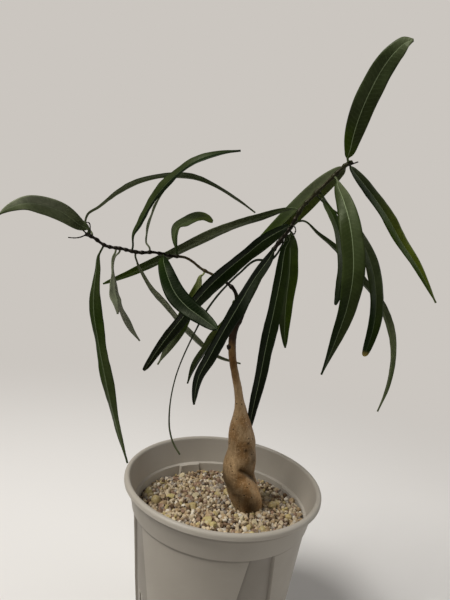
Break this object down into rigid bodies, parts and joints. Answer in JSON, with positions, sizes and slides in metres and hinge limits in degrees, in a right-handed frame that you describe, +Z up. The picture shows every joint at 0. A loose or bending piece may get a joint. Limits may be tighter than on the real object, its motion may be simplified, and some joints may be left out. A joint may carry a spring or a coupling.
{
  "type": "potted bottle tree",
  "caption": "Young bottle tree with a swollen trunk, two thin arching branches and long narrow drooping leaves, standing in gravel in a round slotted pot.",
  "frame": {"origin": "centre of the pot's flat base, on the ground", "axes": "+Z up along the pot's axis, +X to the right and +Y away from the viewer as seen from the front"},
  "size_m": [0.2496, 0.1204, 0.3565],
  "materials": {
    "pot": "warm grey satin plastic",
    "gravel": "coarse cream and tan gravel",
    "bark": "smooth brown bark, darker on the branches",
    "leaf": "dark green satin leaf with a pale midrib",
    "leaf_young": "bright yellow-green young leaf"
  },
  "bodies": {
    "root": {"pot": "pot", "gravel": "gravel", "trunk_and_branches": "bark", "leaf_left_tip": "leaf", "leaf_left_arching": "leaf", "leaf_left_rising": "leaf", "leaf_left_upright": "leaf", "leaf_left_curled": "leaf", "leaf_left_long_hanging": "leaf", "leaf_left_sloping_back": "leaf", "leaf_left_small_front": "leaf", "leaf_left_small_back": "leaf", "leaf_left_broad_front": "leaf", "leaf_left_young_hanging": "leaf_young", "leaf_left_young_low": "leaf_young", "leaf_right_top": "leaf", "leaf_right_outer": "leaf", "leaf_right_broad_front": "leaf", "leaf_right_behind_broad": "leaf", "leaf_right_far_back": "leaf", "leaf_right_short_inner": "leaf", "leaf_right_young_behind": "leaf_young", "leaf_right_sideways": "leaf", "leaf_right_broad_crossing": "leaf", "leaf_right_dark_front": "leaf", "leaf_right_long_hanging": "leaf", "leaf_right_short_hanging": "leaf", "leaf_right_threadlike": "leaf"}
  },
  "joints": []
}
